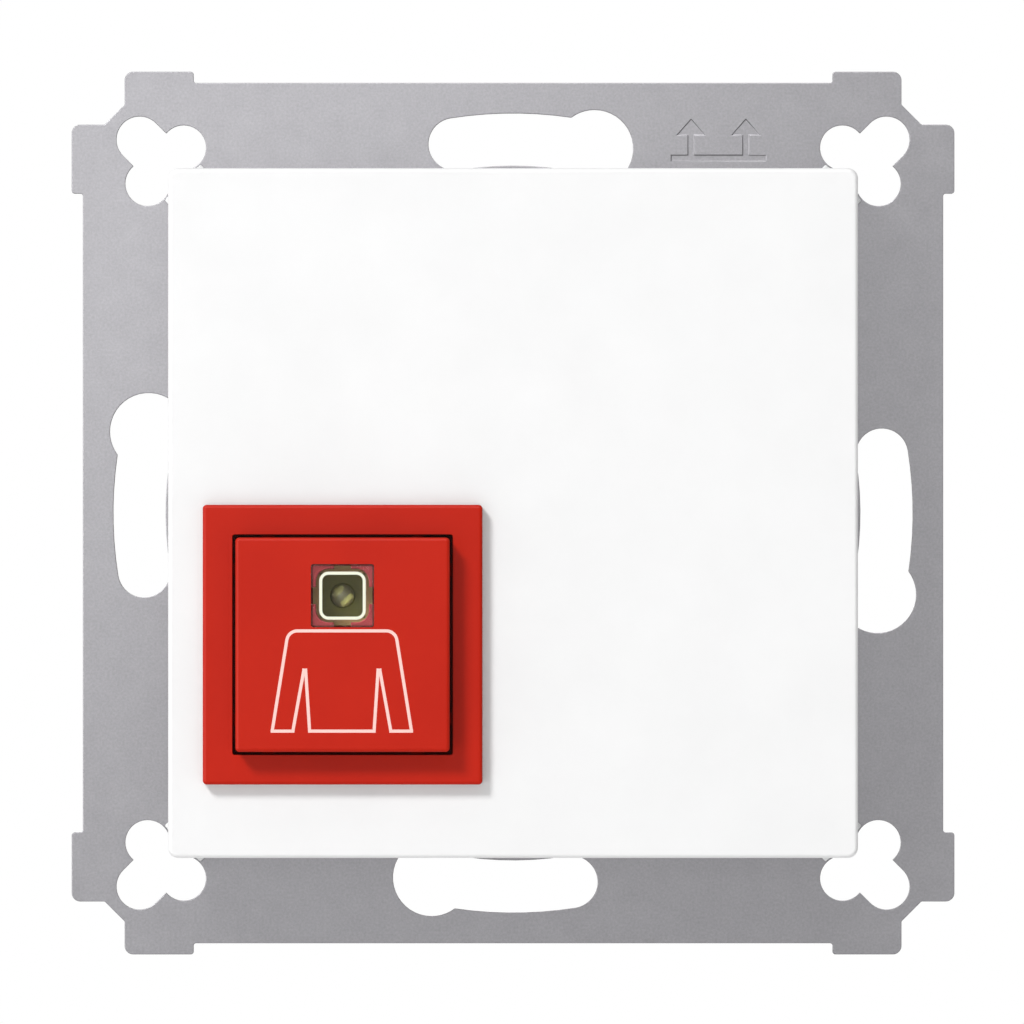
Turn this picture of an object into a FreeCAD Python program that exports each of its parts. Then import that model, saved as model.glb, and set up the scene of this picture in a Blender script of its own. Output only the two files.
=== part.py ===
"""Call button insert for a flush wall box: a steel mounting plate that carries a white cover plate,
a red push button with a lit window, its switch board and a rear housing with screw terminals.

Millimetres. X is to the right, Z is up and Y goes into the wall. The wall plane, which is the back
of the mounting plate, is Y = 0, so everything in the room has a negative Y. The origin is the centre
of the mounting plate.
"""

import FreeCAD
import Part
import math
import os

# Wall box screw slots, on the 60 mm circle of the standard wall box
fixing_radius = 30.0
slot_width = 4.2
slot_narrow_angle = 9.0  # degrees from the middle of a side to the slot's narrow end
slot_keyhole_angle = 12.6  # and to the keyhole at its other end
keyhole_diameter = 6.2

# Mounting plate, stamped sheet steel
plate_thickness = 1.0
plate_rim = 2.45  # between a slot and the side of the plate
corner_step = 3.35  # from the line of a side to the tab beside the corner
tab_length = 5.55
tab_height = 0.9  # how far the corner tabs stand beyond the sides
corner_bevel = 1.6
tab_far_radius = 0.7
tab_near_radius = 0.25
tab_root_radius = 0.2

# Three-lobed holes in the corners, for the claws of a cover frame
corner_hole_inset = 4.55  # from the line of a side to the middle of the outermost round
corner_slot_width = 3.7
corner_slot_length = 3.5  # between its end centres, along the diagonal
lobe_reach = 3.54  # along the side, back from the outermost round
lobe_drop = 0.66  # and away from the side
lobe_diameter = 3.6

# Pressed mark that shows which side is up: two arrows on a bar
mark_x = 16.5
mark_z = 29.95
mark_height = 3.4
mark_bar_length = 7.6
mark_line = 0.5
mark_arrow_pitch = 4.4
mark_head_width = 2.3
mark_head_height = 1.3
mark_depth = 0.15

# Screws through board, carrier and plate into the housing
boss_place = 18.6  # from the centre lines
screw_diameter = 2.86
screw_play = 0.27
screw_length = 8.6
screw_head_diameter = 5.2
screw_head_height = 1.7
screw_head_radius = 0.76
screw_recess = 0.9
screw_recess_width = 0.55
screw_recess_span = 2.9
thread_play = 0.02
pilot_end = 0.3  # bored past the screw's tip
boss_end = 0.7  # and closed beyond that
boss_wall = 0.95
screw_land = 1.98  # left beside a screw hole at the plate's opening

# Opening in the middle of the plate, an octagon, and the coined seat of the housing round its back
opening_half = 21.0
opening_radius = 1.5
seat_depth = 0.2
seat_play = 0.15

# Cover plate
cover_span = 55.25
cover_corner_radius = 0.82
cover_edge_radius = 0.32
cover_wall = 1.6
skirt_wall = 1.3
skirt_gap = 0.5  # between the skirt and the mounting plate

# Carrier, the moulded frame that holds the board and latches the cover
carrier_clearance = 0.42  # inside the cover's skirt
carrier_wall = 1.7
carrier_corner_radius = 2.0
carrier_rim = 0.4  # how far the carrier's wall stands above the board
ledge_thickness = 1.0
ledge_setback = 0.6  # each straight side of its opening is that much inside the plate's
ear_root = 2.1  # small corner ears that reach past the cover's edge
ear_play = 0.05
ear_hole_clearance = 0.12
latch_width = 6.0
latch_thickness = 1.0
latch_length = 3.9
latch_hook = 0.75
latch_hook_height = 0.8
latch_play = 0.1
catch_side_play = 0.2
catch_width = 8.0
catch_height = 0.8
rest_rib_offset = 12.0  # ribs in the cover that sit on the carrier's wall
rest_rib_width = 1.2
rest_rib_play = 0.2

# Circuit board
board_thickness = 1.6
board_clearance = 0.2
board_corner_radius = 1.2

# Bezel, the red square frame low on the left of the cover
bezel_span = 22.4
bezel_side_margin = 2.775  # to the cover's left side
bezel_bottom_margin = 5.885
bezel_rim = 2.375
bezel_height = 1.2
bezel_corner_radius = 0.32
bezel_edge_radius = 0.3
bezel_neck_wall = 1.3
bezel_neck_play = 0.15
bezel_neck_length = 2.7
bezel_hook_grip = 0.3
bezel_hook_play = 0.02
bezel_hook_length = 3.0
bezel_hook_offset = 5.0
bezel_hook_height = 0.7

# Button cap
button_travel = 1.0
cap_clearance = 0.25
cap_height = 2.0  # how far it stands in front of the bezel
cap_corner_radius = 0.32
cap_edge_radius = 0.3
cap_top = 1.5
cap_wall = 1.3
cap_guide_play = 0.08
cap_guide_width = 1.0
cap_guide_offset = 6.0
cap_guide_setback = 1.2
cap_lip_grip = 0.35
cap_lip_height = 0.8
cap_stop_play = 0.05
cap_floor_gap = 0.65  # left between the pressed cap and the heads of the housing screws

# Window and its lens
window_size = 5.05
window_x = 0.0
window_z = 3.93  # from the middle of the button
window_radius = 0.2
lens_play = 0.04
lens_gap = 0.14  # the dark line round the pane
lens_setback = 0.2  # below the button's face
lens_thickness = 1.0
lens_flange = 0.3
lens_flange_thickness = 0.5
shaft_wall = 0.55
shaft_length = 2.9
retainer_width = 4.22  # of its opening, which shapes the light round the ring
retainer_height = 4.27
retainer_radius = 1.0
retainer_notch = 1.35  # in the middle of each side
retainer_thickness = 0.5
ring_width = 3.72
ring_height = 3.84
ring_line = 0.24
ring_radius = 0.75
ring_depth = 0.12

# Figure on the button: the outline of a body below the window
figure_line = 0.25
figure_depth = 0.2
figure_x = -0.05
figure_top = 1.11
figure_bottom = -6.91
figure_shoulder_x = 4.285  # where the slanted side meets the top line
figure_shoulder_radius = 0.85
figure_hem_x = 5.575
figure_cuff_x = 3.92
figure_armpit_x = 2.97
figure_armpit_z = -2.03
figure_armpit_gap = 0.14  # between the two lines that meet there
figure_waist_x = 2.58

# Light source and its holder
holder_span = 4.2
holder_radius = 1.0
holder_collar = 5.0  # round its front, which shields the rest from the light
holder_collar_thickness = 0.6
led_diameter = 1.87
led_gap = 0.565  # left in front of it when the button is pressed
led_seat_depth = 1.0
led_straight = 1.0
led_play = 0.04
lead_width = 0.3
lead_play = 0.08
lead_spacing = 0.98
lead_tail = 0.7
pad_cover = 0.045  # resin left around the pads
pad_width = 0.4
pad_thickness = 0.16

# Switch
switch_span = 6.0
switch_cover_thickness = 0.2
switch_wall = 0.9
switch_floor = 0.9
plunger_diameter = 3.2
plunger_play = 0.1
plunger_flange_thickness = 0.5
plunger_protrusion = 1.75
plunger_wall = 0.45
plunger_top = 0.9
plunger_gap = 0.05
stem_diameter = 2.8
dome_play = 0.15
dome_gap = 0.25  # left in front of it when the button is pressed
dome_rise = 0.3
dome_thickness = 0.1
switch_leg = 0.7
switch_leg_spread = 4.5
switch_leg_tail = 1.0  # beyond the far side of the board

# Module base, the moulding that seats the springs and stands on the board
base_floor = 1.2
base_edge = 0.8
base_bar = 0.53  # between the openings for the switch and the light
base_play = 0.15
base_corner_radius = 0.8
peg_diameter = 1.6
peg_head_diameter = 2.4
peg_head_height = 0.5
peg_play = 0.05
peg_x = 4.9
peg_high = 5.2
peg_low = -3.6
screw_head_clearance = 0.3

# Springs
spring_gap = 0.325  # beside the shaft
spring_z = 0.8
spring_diameter = 3.0
spring_wire = 0.3
spring_turns = 5.5
spring_pin_play = 0.25
spring_pin_length = 1.5
spring_end_gap = 0.04
switch_spring_play = 0.1
switch_spring_wire = 0.3
switch_spring_turns = 3.5

# Housing behind the plate
housing_half = 21.5
housing_wall = 1.5
housing_depth = 8.5
housing_radius = 1.0
boss_setback = 1.98  # from a boss to the tub's slanted wall
flange_width = 2.3
flange_thickness = 2.0
rib_count = 5
rib_pitch = 6.4
rib_thickness = 1.0
rib_height = 0.7
rib_setback = 1.0

# Terminal block
poles = 6
pole_pitch = 5.0
block_x = 0.0
block_z = 4.0
block_end_wall = 0.3
block_width = 9.0
block_cutout_play = 0.2
block_web = 1.0  # between two cages
block_rim = 0.6  # behind the screw heads
cage_depth = 5.2
cage_height = 5.4
cage_wall = 0.6
cage_play = 0.1
entry_gap = 0.5  # from the housing to the cages
entry_margin = 0.4
clamp_screw_play = 0.1
clamp_screw_head = 3.5
clamp_screw_head_height = 1.4
clamp_screw_length = 3.6
clamp_screw_slot = 0.55
clamp_screw_slot_depth = 0.7
clamp_bore_play = 0.15
clamp_first_angle = 20.0
clamp_angle_step = 35.0
tail_width = 1.0
tail_thickness = 0.8
tail_play = 0.1
tail_reach = 0.8  # beyond the far side of the board

# Parts on the back of the board, in a row above the terminal block
row_gap = 4.7
row_pitch = 2.2
chip_x = -9.0
chip_length = 5.0
chip_width = 4.0
chip_height = 1.6
chip_lift = 0.15
chip_legs = 4
chip_leg_pitch = 1.27
chip_leg_width = 0.42
chip_leg_thickness = 0.2
chip_leg_knee = 0.5
chip_leg_reach = 1.0
resistor_length = 2.0
resistor_width = 1.25
resistor_height = 0.5
resistor_left_x = -2.5
resistor_right_x = 2.0
resistor_rows = 3
capacitor_x = 10.0
capacitor_diameter = 5.0
capacitor_height = 5.6
capacitor_sleeve_radius = 0.4

# Radii of hidden moulded corners, and how far an added rib is sunk into the wall it grows from
moulded_radius = 0.3
small_radius = 0.2
rib_root = 0.1

# Places in the plate's plane, worked out from the sizes above
half_body = fixing_radius + slot_width / 2 + plate_rim
corner_hole = half_body - corner_hole_inset
screw_places = [(sx * boss_place, sz * boss_place) for sx in (-1, 1) for sz in (-1, 1)]
screw_hole_diameter = screw_diameter + 2 * screw_play
pilot_diameter = screw_diameter + 2 * thread_play
boss_diameter = pilot_diameter + 2 * boss_wall
opening_diagonal = 2 * boss_place - (screw_hole_diameter / 2 + screw_land) * math.sqrt(2)
housing_diagonal = 2 * boss_place - boss_setback * math.sqrt(2)
flange_half = housing_half + flange_width
flange_diagonal = 2 * boss_place + boss_diameter / 2 * math.sqrt(2)
half_cover = cover_span / 2
skirt_inside = half_cover - skirt_wall
skirt_middle = half_cover - skirt_wall / 2
carrier_half = skirt_inside - carrier_clearance
recess_half = carrier_half - carrier_wall
board_half = recess_half - board_clearance
bezel_half = bezel_span / 2
bezel_inside = bezel_half - bezel_rim
neck_half = bezel_inside + bezel_neck_wall
module_x = -half_cover + bezel_side_margin + bezel_half
module_z = -half_cover + bezel_bottom_margin + bezel_half
cap_half = bezel_inside - cap_clearance
cap_cavity = cap_half - cap_wall
half_window = window_size / 2
seat_half = half_window + lens_flange
shaft_half = seat_half + shaft_wall
holder_opening = holder_span / 2 + base_play
switch_opening = switch_span / 2 + base_play
switch_x = window_x
switch_z = window_z - holder_opening - base_bar - switch_opening
switch_cavity = switch_span - 2 * switch_wall
spring_x = max(shaft_half, switch_span / 2) + spring_gap + spring_diameter / 2
spring_places = [(-spring_x, spring_z), (spring_x, spring_z)]
spring_pin_diameter = spring_diameter - 2 * (spring_wire + spring_pin_play)
peg_places = [(-peg_x, peg_high), (peg_x, peg_high), (peg_x, peg_low)]
block_half_length = pole_pitch * poles / 2 + block_end_wall
cage_width = pole_pitch - block_web - 2 * cage_play
cage_inside = cage_width - 2 * cage_wall
clamp_screw_diameter = cage_inside - 2 * clamp_screw_play
row_z = block_z + block_width / 2 + row_gap

# Planes along Y, worked out from the sizes above
plate_front = -plate_thickness
skirt_back = plate_front - skirt_gap
board_back = plate_front - ledge_thickness
board_front = board_back - board_thickness
carrier_front = board_front - carrier_rim
base_front = board_front - base_floor
screw_head_front = board_front - screw_head_height
screw_tip = board_front + screw_length
cap_back = screw_head_front - cap_floor_gap - button_travel
lip_front = cap_back - cap_lip_height
neck_back = lip_front - cap_stop_play
cover_front = neck_back - bezel_neck_length
cover_inside = cover_front + cover_wall
bezel_front = cover_front - bezel_height
cap_front = bezel_front - cap_height
cap_inside = cap_front + cap_top
shaft_back = cap_inside + shaft_length
lens_front = cap_front + lens_setback
lens_back = lens_front + lens_thickness
seat_front = lens_back - lens_flange_thickness
led_middle = lens_back + button_travel + led_gap + led_diameter / 2
led_seat = led_middle + led_straight
pad_back = led_middle + pad_thickness
holder_front = led_seat - led_seat_depth
switch_inside = board_front - switch_floor
plunger_back = switch_inside - dome_rise - dome_gap - button_travel
plunger_shoulder = plunger_back - plunger_flange_thickness
switch_body_front = plunger_shoulder - plunger_gap
switch_front = switch_body_front - switch_cover_thickness
plunger_front = switch_front - plunger_protrusion
latch_tip = carrier_front - latch_length
latch_hook_back = latch_tip + latch_hook_height
flange_back = flange_thickness - seat_depth
cage_front = housing_depth + entry_gap
cage_back = cage_front + cage_height
clamp_head_front = cage_back + cage_play
clamp_head_back = clamp_head_front + clamp_screw_head_height
block_back = clamp_head_back + block_rim


def vec(x, y, z):
    return FreeCAD.Vector(x, y, z)


def box(x0, x1, y0, y1, z0, z1):
    """Solid between two corners."""
    return Part.makeBox(x1 - x0, y1 - y0, z1 - z0, vec(x0, y0, z0))


def rod(x, z, diameter, y0, y1):
    """Round solid along Y."""
    return Part.makeCylinder(diameter / 2, y1 - y0, vec(x, y0, z), vec(0, 1, 0))


def outline(corners):
    """Closed wire in the plane Y = 0 through (x, z, radius) corners, each rounded to its radius."""
    tangents = []
    count = len(corners)
    for i, (x, z, radius) in enumerate(corners):
        here = vec(x, 0, z)
        before = corners[i - 1]
        after = corners[(i + 1) % count]
        back = (vec(before[0], 0, before[1]) - here).normalize()
        ahead = (vec(after[0], 0, after[1]) - here).normalize()
        half_angle = back.getAngle(ahead) / 2
        if radius <= 0:
            tangents.append((here, None, here))
            continue
        reach = radius / math.tan(half_angle)
        middle = (back + ahead).normalize()
        bulge = radius / math.sin(half_angle) - radius
        tangents.append((here + back * reach, here + middle * bulge, here + ahead * reach))
    edges = []
    for i, (start, middle, end) in enumerate(tangents):
        if middle is not None:
            edges.append(Part.Arc(start, middle, end).toShape())
        following = tangents[(i + 1) % count][0]
        if (following - end).Length > 1e-7:
            edges.append(Part.LineSegment(end, following).toShape())
    return Part.Wire(edges)


def slab(corners, y0, y1):
    """Solid with that outline between two planes."""
    face = Part.Face(outline(corners))
    face.translate(vec(0, y0, 0))
    return face.extrude(vec(0, y1 - y0, 0))


def rectangle(x0, x1, z0, z1, radius=0.0):
    return [(x0, z0, radius), (x1, z0, radius), (x1, z1, radius), (x0, z1, radius)]


def square(half, radius=0.0, x=0.0, z=0.0):
    return rectangle(x - half, x + half, z - half, z + half, radius)


def octagon(half, diagonal, radius):
    """Square with its corners cut on the lines X + Z = diagonal."""
    short = diagonal - half
    points = [(half, short), (short, half), (-short, half), (-half, short)]
    points += [(-x, -z) for x, z in points]
    return [(x, z, radius) for x, z in points]


def turned(shape, degrees):
    """Copy turned about the Y axis."""
    copy = shape.copy()
    copy.rotate(vec(0, 0, 0), vec(0, 1, 0), degrees)
    return copy


def four_times(shape):
    return [turned(shape, 90 * i) for i in range(4)]


def joined(shapes):
    return shapes[0].multiFuse(shapes[1:]).removeSplitter()


def rounded_front(solid, y, radius):
    """Rounds the edges that lie in the plane Y = y."""
    def flat(edge):
        bounds = edge.BoundBox
        return abs(bounds.YMin - y) < 1e-4 and abs(bounds.YMax - y) < 1e-4

    return solid.makeFillet(radius, [edge for edge in solid.Edges if flat(edge)])


def polar(radius, degrees):
    """Point of the plate at that distance, degrees clockwise from straight up."""
    angle = math.radians(degrees)
    return radius * math.sin(angle), radius * math.cos(angle)


def coil(diameter, wire, turns, x, z, y0, y1):
    """Compression spring between two planes, its wire just inside both."""
    mean = (diameter - wire) / 2
    rise = (y1 - y0 - wire) / turns
    helix = Part.makeHelix(rise, rise * turns, mean)
    circle = Part.Circle(vec(mean, 0, 0), vec(0, 1, rise / (2 * math.pi * mean)), wire / 2)
    section = Part.Wire([circle.toShape()])
    spring = Part.Wire(helix.Edges).makePipeShell([section], True, True)
    spring.rotate(vec(0, 0, 0), vec(1, 0, 0), -90)
    spring.translate(vec(x, y0 + wire / 2, z))
    return spring


def fixing_slot(y0, y1):
    """The slot at the top of the plate: an arc on the fixing circle that opens into a keyhole."""
    inner = fixing_radius - slot_width / 2
    outer = fixing_radius + slot_width / 2
    start = -slot_narrow_angle
    end = slot_keyhole_angle
    middle = (start + end) / 2
    end_reach = math.degrees(slot_width / 2 / fixing_radius)

    def arc(*polar_points):
        points = [polar(radius, degrees) for radius, degrees in polar_points]
        return Part.Arc(*[vec(x, 0, z) for x, z in points]).toShape()

    edges = [
        arc((outer, start), (outer, middle), (outer, end)),
        arc((outer, end), (fixing_radius, end + end_reach), (inner, end)),
        arc((inner, end), (inner, middle), (inner, start)),
        arc((inner, start), (fixing_radius, start - end_reach), (outer, start)),
    ]
    face = Part.Face(Part.Wire(edges))
    face.translate(vec(0, y0, 0))
    x, z = polar(fixing_radius, slot_keyhole_angle)
    return joined([face.extrude(vec(0, y1 - y0, 0)), rod(x, z, keyhole_diameter, y0, y1)])


def lobe_centres():
    along = corner_hole - lobe_reach
    across = corner_hole - lobe_drop
    return [(along, across), (across, along)]


def corner_cut(y0, y1):
    """The hole in the top right corner: a short diagonal slot between two round lobes."""
    near = corner_hole - corner_slot_length / math.sqrt(2)
    half = corner_slot_width / 2 / math.sqrt(2)
    sides = [(near - half, near + half), (corner_hole - half, corner_hole + half),
             (corner_hole + half, corner_hole - half), (near + half, near - half)]
    parts = [slab([(x, z, 0) for x, z in sides], y0, y1)]
    parts += [rod(place, place, corner_slot_width, y0, y1) for place in (near, corner_hole)]
    parts += [rod(x, z, lobe_diameter, y0, y1) for x, z in lobe_centres()]
    return joined(parts)


def plate_corner():
    """Outline points of the top right corner, clockwise from the top side."""
    far = half_body + tab_height
    tab_end = half_body - corner_step
    tab_start = tab_end - tab_length
    bevel_end = tab_end + corner_bevel
    return [
        (tab_start, half_body, tab_root_radius),
        (tab_start, far, tab_near_radius),
        (tab_end, far, tab_far_radius),
        (tab_end, bevel_end, 0),
        (bevel_end, tab_end, 0),
        (far, tab_end, tab_far_radius),
        (far, tab_start, tab_near_radius),
        (half_body, tab_start, tab_root_radius),
    ]


def up_mark():
    """Two arrows on a bar, pressed into the plate's front."""
    y0 = plate_front - mark_depth
    y1 = plate_front + mark_depth
    low = mark_z - mark_height / 2
    high = mark_z + mark_height / 2
    half_bar = mark_bar_length / 2
    parts = [box(mark_x - half_bar, mark_x + half_bar, y0, y1, low, low + mark_line)]
    for side in (-0.5, 0.5):
        x = mark_x + side * mark_arrow_pitch
        half_head = mark_head_width / 2
        half_line = mark_line / 2
        neck = high - mark_head_height
        arrow = [(x - half_line, low), (x + half_line, low), (x + half_line, neck), (x + half_head, neck),
                 (x, high), (x - half_head, neck), (x - half_line, neck)]
        parts.append(slab([(px, pz, 0) for px, pz in arrow], y0, y1))
    return joined(parts)


def mounting_plate():
    quarter = plate_corner()
    corners = []
    for x_sign, z_sign, order in ((1, 1, 1), (1, -1, -1), (-1, -1, 1), (-1, 1, -1)):
        corners += [(x * x_sign, z * z_sign, r) for x, z, r in quarter[::order]]
    plate = slab(corners, plate_front, 0)
    cuts = [slab(octagon(opening_half, opening_diagonal, opening_radius), plate_front, 0)]
    cuts += four_times(fixing_slot(plate_front, 0))
    cuts += four_times(corner_cut(plate_front, 0))
    seat = octagon(flange_half + seat_play, flange_diagonal + seat_play * math.sqrt(2), housing_radius)
    cuts.append(slab(seat, -seat_depth, 0))
    cuts += [rod(x, z, screw_hole_diameter, plate_front, 0) for x, z in screw_places]
    cuts.append(up_mark())
    return plate.cut(Part.makeCompound(cuts))


def carrier_ear():
    """Small ear beside the top right corner, trimmed clear of the corner hole."""
    x, z = lobe_centres()[0]
    clear = lobe_diameter / 2 + ear_hole_clearance
    tip_x = x - clear / math.sqrt(2)
    tip_z = z - clear / math.sqrt(2)
    left = tip_x - (tip_z - carrier_half)
    low = carrier_half - ear_root
    front = skirt_back + ear_play
    corners = [(tip_x, tip_z), (left, carrier_half), (left, low), (carrier_half, low), (carrier_half, tip_z)]
    ear = slab([(px, pz, 0) for px, pz in corners], front, plate_front)
    return ear.cut(rod(x, z, 2 * clear, front, plate_front))


def wedge(left, length, points):
    """Solid along X with that outline of (y, z) points."""
    corners = [vec(left, y, z) for y, z in points + points[:1]]
    return Part.Face(Part.makePolygon(corners)).extrude(vec(length, 0, 0))


def carrier_latch():
    """Springy arm at the middle of the top side, with a hook at its tip."""
    outside = recess_half + latch_thickness
    left = -latch_width / 2
    arm = box(left, -left, latch_tip, carrier_front, recess_half, outside)
    hook = wedge(left, latch_width, [(latch_tip, outside), (latch_hook_back, outside + latch_hook),
                                     (latch_hook_back, outside)])
    return arm.fuse(hook)


def carrier_frame():
    outer = slab(square(carrier_half, carrier_corner_radius), carrier_front, plate_front)
    ear = carrier_ear()
    other_ear = turned(ear.mirror(vec(0, 0, 0), vec(1, 0, 0)), 90)
    frame = joined([outer] + four_times(ear) + four_times(other_ear) + four_times(carrier_latch()))
    recess = slab(square(recess_half, board_corner_radius + board_clearance), carrier_front, board_back)
    inner = octagon(opening_half - ledge_setback, opening_diagonal, opening_radius)
    cuts = [recess, slab(inner, board_back, plate_front)]
    cuts += [rod(x, z, screw_hole_diameter, board_back, plate_front) for x, z in screw_places]
    return frame.cut(Part.makeCompound(cuts))


def cover_catch():
    """Rib inside the top side of the skirt that snaps behind a latch hook."""
    front = latch_hook_back + latch_play
    inner = recess_half + latch_thickness + catch_side_play
    half = catch_width / 2
    return box(-half, half, front, front + catch_height, inner, skirt_middle)


def rest_rib(x):
    """Rib inside the top side that sits on the carrier's wall."""
    half = rest_rib_width / 2
    inner = recess_half + rest_rib_play
    return box(x - half, x + half, cover_inside - rib_root, carrier_front, inner, skirt_middle)


def centre_plate():
    outer = slab(square(half_cover, cover_corner_radius), cover_front, skirt_back)
    outer = rounded_front(outer, cover_front, cover_edge_radius)
    shell = outer.cut(slab(square(skirt_inside, cover_corner_radius), cover_inside, skirt_back))
    ribs = four_times(cover_catch())
    for x in (-rest_rib_offset, rest_rib_offset):
        ribs += four_times(rest_rib(x))
    hole = square(neck_half + bezel_neck_play, moulded_radius, module_x, module_z)
    return joined([shell] + ribs).cut(slab(hole, cover_front, cover_inside))


def in_module(shape):
    """Moves a shape made about the button's middle to its place."""
    shape.translate(vec(module_x, 0, module_z))
    return shape


def bezel():
    flange = slab(square(bezel_half, bezel_corner_radius), bezel_front, cover_front)
    flange = rounded_front(flange, bezel_front, bezel_edge_radius)
    parts = [flange, slab(square(neck_half, moulded_radius), cover_front, neck_back)]
    hook_front = cover_inside + bezel_hook_play
    hook_reach = neck_half + bezel_neck_play + bezel_hook_grip
    for offset in (-bezel_hook_offset, bezel_hook_offset):
        hook = wedge(offset - bezel_hook_length / 2, bezel_hook_length,
                     [(hook_front, neck_half), (hook_front, hook_reach),
                      (hook_front + bezel_hook_height, neck_half)])
        parts += four_times(hook)
    opening = slab(square(bezel_inside, small_radius), bezel_front, neck_back)
    return in_module(joined(parts).cut(opening))


def figure_bar(start, end, y0, y1):
    """Straight line of the figure with square ends, from one (x, z) point to another."""
    first = vec(start[0], 0, start[1])
    last = vec(end[0], 0, end[1])
    along = (last - first).normalize() * (figure_line / 2)
    across = vec(-along.z, 0, along.x)
    points = [first - along + across, last + along + across, last + along - across, first - along - across]
    return slab([(p.x, p.z, 0) for p in points], y0, y1)


def figure_side(sign, y0, y1):
    """Half of the figure's top line, one shoulder and the slanted side below it."""
    slope = (figure_hem_x - figure_shoulder_x) / (figure_top - figure_bottom)
    half_line = figure_line / 2
    half_width = half_line * math.sqrt(1 + slope * slope)

    def edge(outward):
        z = figure_top + outward * half_line
        shoulder = figure_shoulder_x - slope * outward * half_line + outward * half_width
        hem = figure_hem_x + outward * half_width
        return [(0, z, 0), (sign * shoulder, z, figure_shoulder_radius + outward * half_line),
                (sign * hem, figure_bottom, 0)]

    return slab(edge(1) + edge(-1)[::-1], y0, y1)


def figure_strokes(y0, y1):
    """The figure's outline as lines of one width."""
    parts = []
    for sign in (-1, 1):
        route = [(figure_hem_x, figure_bottom), (figure_cuff_x, figure_bottom),
                 (figure_armpit_x + figure_armpit_gap / 2, figure_armpit_z),
                 (figure_armpit_x - figure_armpit_gap / 2, figure_armpit_z),
                 (figure_waist_x, figure_bottom), (0, figure_bottom)]
        route = [(sign * x, z) for x, z in route]
        parts.append(figure_side(sign, y0, y1))
        parts += [figure_bar(start, end, y0, y1) for start, end in zip(route, route[1:])]
    half_line = figure_line / 2
    reach = figure_hem_x + figure_line
    keep = box(-reach, reach, y0, y1, figure_bottom - half_line, figure_top + half_line)
    figure = joined(parts).common(keep).removeSplitter()
    figure.translate(vec(figure_x, 0, 0))
    return figure


def figure_inlay():
    return in_module(figure_strokes(cap_front, cap_front + figure_depth))


def cap_guides():
    """Ribs that guide the cap in the bezel's neck."""
    ribs = []
    half = cap_guide_width / 2
    guide_face = bezel_inside - cap_guide_play
    for x in (-cap_guide_offset, cap_guide_offset):
        ribs += four_times(box(x - half, x + half, bezel_front + cap_guide_setback, lip_front,
                               cap_half - rib_root, guide_face))
    return ribs


def button_cap():
    shell = slab(square(cap_half, cap_corner_radius), cap_front, cap_back)
    shell = rounded_front(shell, cap_front, cap_edge_radius)
    lip = slab(square(bezel_inside + cap_lip_grip, moulded_radius), lip_front, cap_back)
    shell = joined([shell, lip] + cap_guides())
    shell = shell.cut(slab(square(cap_cavity, moulded_radius), cap_inside, cap_back))
    shaft = box(window_x - shaft_half, window_x + shaft_half, cap_inside, shaft_back,
                window_z - shaft_half, cap_cavity + rib_root)
    stem = rod(switch_x, switch_z, stem_diameter, cap_inside, plunger_front - plunger_gap)
    pin_back = cap_inside + spring_pin_length
    pins = [rod(x, z, spring_pin_diameter, cap_inside, pin_back) for x, z in spring_places]
    body = joined([shell, shaft, stem] + pins)
    body = body.cut(slab(square(half_window, window_radius, window_x, window_z), cap_front, shaft_back))
    body = body.cut(slab(square(seat_half, window_radius, window_x, window_z), seat_front, shaft_back))
    return in_module(body.cut(figure_strokes(cap_front, cap_front + figure_depth)))


def window_lens():
    pane = square(half_window - lens_gap, window_radius, window_x, window_z)
    flange = square(seat_half - lens_play, window_radius, window_x, window_z)
    lens = joined([slab(pane, lens_front, lens_back), slab(flange, seat_front, lens_back)])
    return in_module(lens.cut(ring(lens_front, lens_front + ring_depth)))


def lens_retainer():
    """Frame pressed in behind the lens, notched as far as the edge of the window."""
    half_width = retainer_width / 2
    half_height = retainer_height / 2
    back = lens_back + retainer_thickness
    frame = slab(square(seat_half - lens_play, window_radius, window_x, window_z), lens_back, back)
    opening = rectangle(window_x - half_width, window_x + half_width, window_z - half_height,
                        window_z + half_height, retainer_radius)
    half_notch = retainer_notch / 2
    notches = [box(window_x - x, window_x + x, lens_back, back, window_z - z, window_z + z)
               for x, z in ((half_notch, half_window), (half_window, half_notch))]
    return in_module(frame.cut(joined([slab(opening, lens_back, back)] + notches)))


def ring(y0, y1):
    def filled(inset):
        half_x = ring_width / 2 - inset
        half_z = ring_height / 2 - inset
        corners = rectangle(window_x - half_x, window_x + half_x, window_z - half_z, window_z + half_z,
                            ring_radius - inset)
        return slab(corners, y0, y1)

    return filled(0).cut(filled(ring_line))


def window_ring():
    return in_module(ring(lens_front, lens_front + ring_depth))


def lead_places():
    """The two leads stand on the falling diagonal through the middle of the window."""
    step = lead_spacing / 2 / math.sqrt(2)
    return [(window_x - step, window_z + step), (window_x + step, window_z - step)]


def lead_bars(width, y0, y1):
    half = width / 2
    return [box(x - half, x + half, y0, y1, z - half, z + half) for x, z in lead_places()]


def pads(y0, y1):
    """Flat heads of the leads, long across the diagonal that joins them."""
    reach = led_diameter / 2 - pad_cover
    side = (lead_spacing + pad_width) / 2
    half_length = math.sqrt(reach * reach - side * side)
    half_width = pad_width / 2
    shapes = []
    for x, z in lead_places():
        pad = box(-half_length, half_length, y0, y1, -half_width, half_width)
        pad.rotate(vec(0, 0, 0), vec(0, 1, 0), -45)
        pad.translate(vec(x, 0, z))
        shapes.append(pad)
    return shapes


def led_holder():
    block = slab(square(holder_span / 2, holder_radius, window_x, window_z), holder_front, board_front)
    collar = slab(square(holder_collar / 2, holder_radius, window_x, window_z), holder_front,
                  holder_front + holder_collar_thickness)
    bore = rod(window_x, window_z, led_diameter + 2 * led_play, holder_front, led_seat)
    holes = lead_bars(lead_width + 2 * lead_play, led_seat, board_front)
    return in_module(joined([block, collar]).cut(Part.makeCompound([bore] + holes)))


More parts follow.
